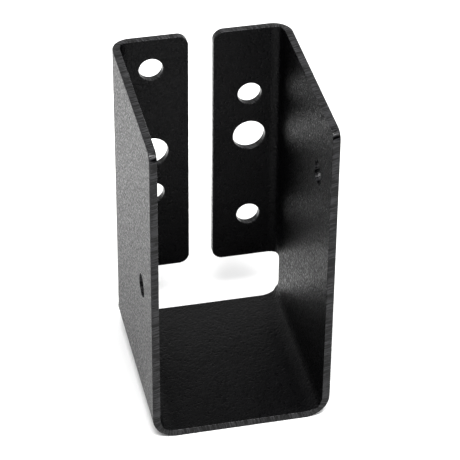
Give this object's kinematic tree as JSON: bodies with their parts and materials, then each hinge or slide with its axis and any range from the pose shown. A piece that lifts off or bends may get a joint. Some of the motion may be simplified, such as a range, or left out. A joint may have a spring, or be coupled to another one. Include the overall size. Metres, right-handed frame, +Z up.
{
  "type": "concealed flange beam hanger",
  "caption": "Black coated steel beam hanger: one plate folded into a U-shaped seat with two drilled fixing flanges turned in behind the channel.",
  "frame": {"origin": "bottom centre of the bounding box: middle of the width and depth, at the underside of the seat", "axes": "+X across the channel to its right side, +Y from the open front to the flanges, +Z up"},
  "size_m": [0.0988, 0.112, 0.187],
  "materials": {
    "coated_plate": "fine-textured satin black powder coat"
  },
  "bodies": {
    "root": {"seat_panel": "coated_plate", "left_seat_bend": "coated_plate", "right_seat_bend": "coated_plate", "left_side_panel": "coated_plate", "right_side_panel": "coated_plate", "left_flange_bend": "coated_plate", "right_flange_bend": "coated_plate", "left_flange_panel": "coated_plate", "right_flange_panel": "coated_plate"}
  },
  "joints": []
}
